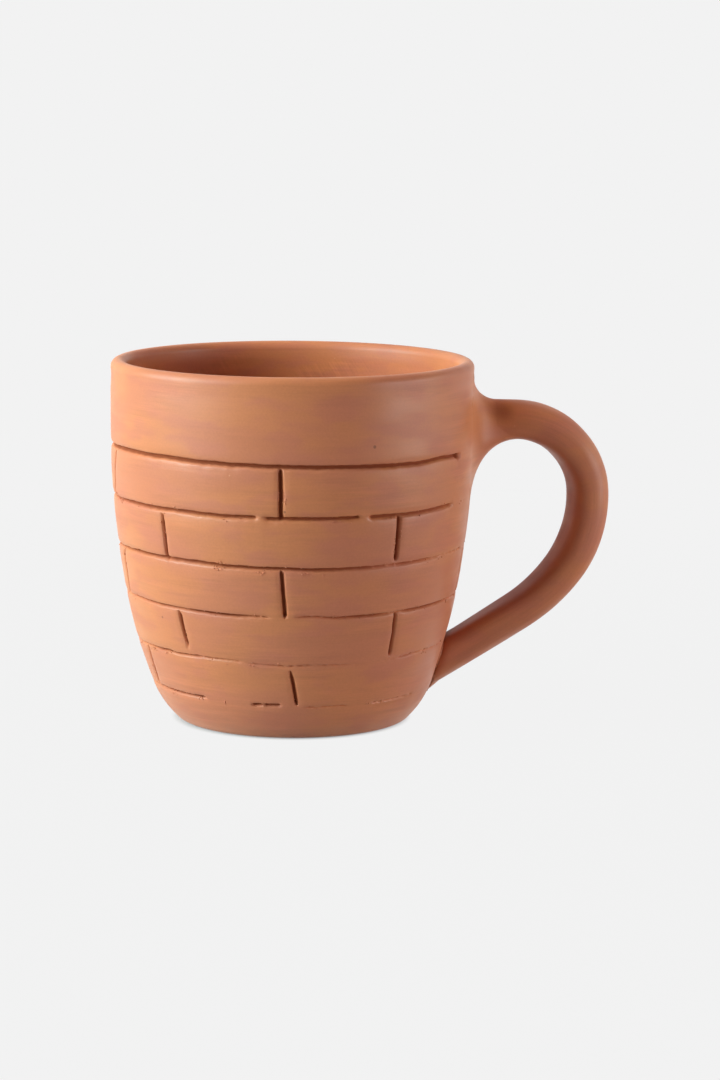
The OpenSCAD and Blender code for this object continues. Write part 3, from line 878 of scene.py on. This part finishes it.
def painted_joint_shade(piece):
    """Painted shade at each point of a piece, in the crease and on the pinch."""
    places = np.array([v.co for v in piece.data.vertices]) / MM
    from_middle = np.hypot(places[:, 0], places[:, 1])
    to_wall = from_middle - wall_r(places[:, 2])
    crease_shade = np.clip(1 - to_wall / CREASE_WIDE, 0, 1) * (places[:, 2] < CREASE_BELOW)
    high = np.clip((places[:, 2] - PINCH_ABOVE) / PINCH_RISE, 0, 1)
    aside = np.clip(np.abs(places[:, 1]) / PINCH_ASIDE, 0, 1)
    pinch_shade = PINCH_SHADE * np.exp(-((from_middle - PINCH_R) / PINCH_REACH) ** 2) * high * aside
    return np.maximum(crease_shade, pinch_shade)


# The handle carries the painted shade of the crease and the pinch in its cut value
mark_points(handle, "cut", painted_joint_shade(handle))
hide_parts("handle")
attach(handle, "root")

# Luting clay
# Soft clay is worked in with a finger round both ends of the handle, so each end flares into the wall.
# The upper flare has a long web below. The lower one is a narrow fillet, fullest on the underside.
luting_clay = fired_clay("luting clay", CLAY_MAIN, CLAY_WARM, CLAY_COOL, CUT_CLAY_AND_SHADE)
FLARE_STEPS = 16
FLARE_SKIN = 0.05
FLARE_SINK = 1.2
FLARE_TAIL = 0.6
ROOT_WIDER = 0.1
# The corner between handle and wall is found by steps, each a share of the distance left
SETTLE_TRIES = 40
SETTLE_SHARE = 0.7


def on_handle(end, k, t, skin=0.0):
    """Place on the handle's straight end, at section point k and a length t out from the wall's joint."""
    root_z, heading = end
    side, out = section()[k]
    gone = END_SINK + t if math.cos(heading) > 0 else route_length[-1] - END_SINK - t
    reaches = (outer_reach, inner_reach, side_reach)
    outer, inner, wide = [np.interp(gone, route_length, reach) + skin for reach in reaches]
    by = out * (outer if out > 0 else inner)
    way = math.copysign(1, math.cos(heading))
    x = float(wall_r(root_z)) + t * way * math.cos(heading) - by * math.sin(heading)
    z = root_z + t * way * math.sin(heading) + by * math.cos(heading)
    return np.array([x, side * wide, z])


def off_wall(place):
    """The same place as side, height and distance from the wall."""
    x, y, z = place
    return np.array([y, z, math.hypot(x, y) - float(wall_r(z))])


def worked_curve(end, k, spread, run, pull):
    """Hollow curve of worked-in clay at section point k: spread out on the wall, run out on the handle."""
    t = 0.0
    for i in range(SETTLE_TRIES):
        t -= SETTLE_SHARE * off_wall(on_handle(end, k, t))[2]
    corner = off_wall(on_handle(end, k, t))
    foot = corner + np.array([spread[0], spread[1], -FLARE_SKIN])
    tip = off_wall(on_handle(end, k, t + run, -FLARE_SKIN))
    foot_pull = foot + pull * (corner - foot)
    tip_pull = tip + pull * (corner - tip)
    places = [foot + np.array([0, 0, depth]) + ROOT_WIDER * (foot - corner) for depth in (-FLARE_SINK, 0)]
    for u in np.linspace(0, 1, FLARE_STEPS + 1):
        v = 1 - u
        places.append(v ** 3 * foot + 3 * u * v * v * foot_pull + 3 * u * u * v * tip_pull + u ** 3 * tip)
    places.append(off_wall(on_handle(end, k, t + run + FLARE_TAIL, -2 * FLARE_SKIN)))
    places.append(off_wall(on_handle(end, k, t + run + FLARE_TAIL, -FLARE_SINK)))
    points = []
    for y, z, d in places:
        points.append((math.sqrt(max((float(wall_r(z)) + d) ** 2 - y * y, 0.0)), y, z))
    return points


def clay_flare(name, end, outer, inner, side, pull):
    """Flare of clay round an end of the handle. Outer, inner and side each give a spread and a run.

    The pull says how hollow it is: 0 is flat, and 0.55 would be a quarter circle."""
    curves = []
    for k, (across, out) in enumerate(section()):
        spread, run = outer if out > 0 else inner
        way = math.copysign(1, math.cos(end[1]))
        curves.append(worked_curve(
            end, k, (side[0] * across, spread * out * way), side[1] + (run - side[1]) * out * out, pull,
        ))
    if math.cos(end[1]) > 0:
        curves.reverse()
    rings = [np.array(ring) for ring in zip(*curves)]
    piece = closed_tube(name, rings, rings[0].mean(axis=0), rings[-1].mean(axis=0))
    for polygon in piece.data.polygons:
        polygon.use_smooth = True
    piece.data.materials.append(luting_clay)
    return piece


upper_end = (HANDLE_Z, START_HEADING)
lower_end = (LOW_JOINT_Z, END_HEADING)
upper_flare = clay_flare(
    "upper_flare", upper_end, outer=(7.0, 6.6), inner=(16.0, 12.5), side=(8.5, 6.5), pull=0.61)
# The upper flare carries the same painted shade of the pinch
mark_points(upper_flare, "cut", painted_joint_shade(upper_flare))
lower_flare = clay_flare(
    "lower_flare", lower_end, outer=(3.2, 6.5), inner=(0.0, 0.2), side=(0.0, 0.2), pull=0.3)
for flare, node in ((upper_flare, "upper_luting_clay"), (lower_flare, "lower_luting_clay")):
    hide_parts(node)
    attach(flare, "root")

# Slip
# Wet clay brushed between the handle's ends and the scored wall. It is hidden inside the joints, and it
# fires a shade darker than the clay that it holds.
slip = fired_clay("slip", srgb(160, 96, 70), srgb(168, 104, 72), srgb(148, 88, 66), CUT_CLAY_AND_SHADE, rough=0.7)
for node in ("upper_slip_layer", "lower_slip_layer"):
    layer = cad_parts[node]
    layer.data.materials.clear()
    layer.data.materials.append(slip)

# Floor, light and camera
# The cup stands on a plain pale floor in a pale room. Three soft lamps light it from the left, one of
# them from high up, one low lamp fills in from the right, and a faint one lights its back edge. The
# handle is turned a little away from the camera.
TURN = math.radians(8.0)
ELEVATION = math.radians(9.1)
ROLL = math.radians(0.45)
CAMERA_AWAY = 850 * MM
VIEW_MIDDLE = (16.97, 0, 44.55)
FOCAL_PX = 3409
LONG_SIDE_PX = 1080
SENSOR_MM = 36.0
right = Vector((math.cos(TURN), -math.sin(TURN), 0))
away = Vector((math.sin(TURN), math.cos(TURN), 0))
up = Vector((0, 0, 1))
BACKGROUND = srgb(242, 242, 242)
FLOOR_SIZE = 400.0
CLIP_START = 0.01
CLIP_END = 600.0


def at(x, y, z):
    """A place from millimetres to the camera's right, away from it, and up."""
    return (right * x + away * y + up * z) * MM


def seen_share(tree):
    """1 for what the camera sees, straight or in a gloss, and 0 for the light on the cup."""
    rays = put(tree, "ShaderNodeLightPath").outputs
    seen = calc(tree, "ADD", rays["Is Camera Ray"], rays["Is Glossy Ray"])
    return calc(tree, "ADD", seen, rays["Is Transmission Ray"], clamp=True)


bpy.ops.mesh.primitive_plane_add(size=FLOOR_SIZE, location=(0, 0, 0))
floor = bpy.context.object
floor.name = "floor"
floor_paint = bpy.data.materials.new("pale floor")
floor_paint.use_nodes = True
tree = floor_paint.node_tree
tree.nodes.clear()
# The share of the floor that shows as plain background, near the cup's foot, round it and far away
GLOW_NEAR, GLOW_ROUND, GLOW_FAR = 0.4, 0.99, 1.0
NEAR_FROM, NEAR_TO = 27.5 * MM, 30.5 * MM
FAR_FROM, FAR_TO = 120 * MM, 400 * MM
FLOOR_GREY = 0.44
distance = length(tree, put(tree, "ShaderNodeTexCoord").outputs["Object"])
glow_share = calc(tree, "MINIMUM", ramp(tree, distance, NEAR_FROM, NEAR_TO, GLOW_NEAR, 1.0),
                  ramp(tree, distance, FAR_FROM, FAR_TO, GLOW_ROUND, GLOW_FAR))
matt = put(tree, "ShaderNodeBsdfDiffuse", {"Color": (FLOOR_GREY, FLOOR_GREY, FLOOR_GREY, 1)})
glow = put(tree, "ShaderNodeEmission", {"Color": BACKGROUND, "Strength": 1.0})
shown_share = times(tree, seen_share(tree), glow_share)
both = put(tree, "ShaderNodeMixShader", {0: shown_share, 1: matt.outputs[0], 2: glow.outputs[0]})
put(tree, "ShaderNodeOutputMaterial", {0: both.outputs[0]})
floor.data.materials.append(floor_paint)

world = bpy.data.worlds.new("pale room")
bpy.context.scene.world = world
world.use_nodes = True
tree = world.node_tree
tree.nodes.clear()
ROOM_LIGHT = 0.06
shown = put(tree, "ShaderNodeBackground", {"Color": BACKGROUND, "Strength": 1.0})
lights = put(tree, "ShaderNodeBackground", {"Color": (1, 0.98, 0.96, 1), "Strength": ROOM_LIGHT})
both = put(tree, "ShaderNodeMixShader", {0: seen_share(tree), 1: lights.outputs[0], 2: shown.outputs[0]})
put(tree, "ShaderNodeOutputWorld", {0: both.outputs[0]})

# Each lamp's place is given in degrees to the right of the camera and degrees up
LAMP_AWAY = 700
LAMP_SIZE = 0.4
middle = at(0, 0, CUP_H / 2)
for name, azimuth, elevation, power, colour in (
    ("left lamp", -62, 18, 3.9, (0.89, 1.12, 1.13)),
    ("side lamp", -80, 24, 4.8, (0.85, 1.14, 1.13)),
    ("high lamp", -85, 60, 1.6, (1.3, 0.95, 0.65)),
    ("right lamp", 76, -3, 4.6, (1.02, 1.0, 0.98)),
    ("back lamp", 100, 15, 0.6, (1.1, 1.1, 0.9)),
):
    a, e = math.radians(azimuth), math.radians(elevation)
    away_by = at(math.cos(e) * math.sin(a), -math.cos(e) * math.cos(a), math.sin(e)) * LAMP_AWAY
    lamp = bpy.data.lights.new(name, "AREA")
    lamp.size = LAMP_SIZE
    lamp.energy = power
    lamp.color = colour
    holder = stand(name, lamp)
    holder.location = middle + away_by
    holder.rotation_mode = "QUATERNION"
    holder.rotation_quaternion = (holder.location - middle).to_track_quat("Z", "Y")

scene = bpy.context.scene
camera = stand("camera", bpy.data.cameras.new("camera"))
camera.data.sensor_width = SENSOR_MM
camera.data.lens = FOCAL_PX * SENSOR_MM / LONG_SIDE_PX
camera.data.clip_start = CLIP_START
camera.data.clip_end = CLIP_END
look = away * math.cos(ELEVATION) - up * math.sin(ELEVATION)
over = right.cross(look)
across = right * math.cos(ROLL) + over * math.sin(ROLL)
above = over * math.cos(ROLL) - right * math.sin(ROLL)
turned = Matrix((across, above, -look)).transposed().to_4x4()
turned.translation = at(*VIEW_MIDDLE) - look * CAMERA_AWAY
camera.matrix_world = turned
scene.camera = camera
scene.view_settings.view_transform = "Standard"
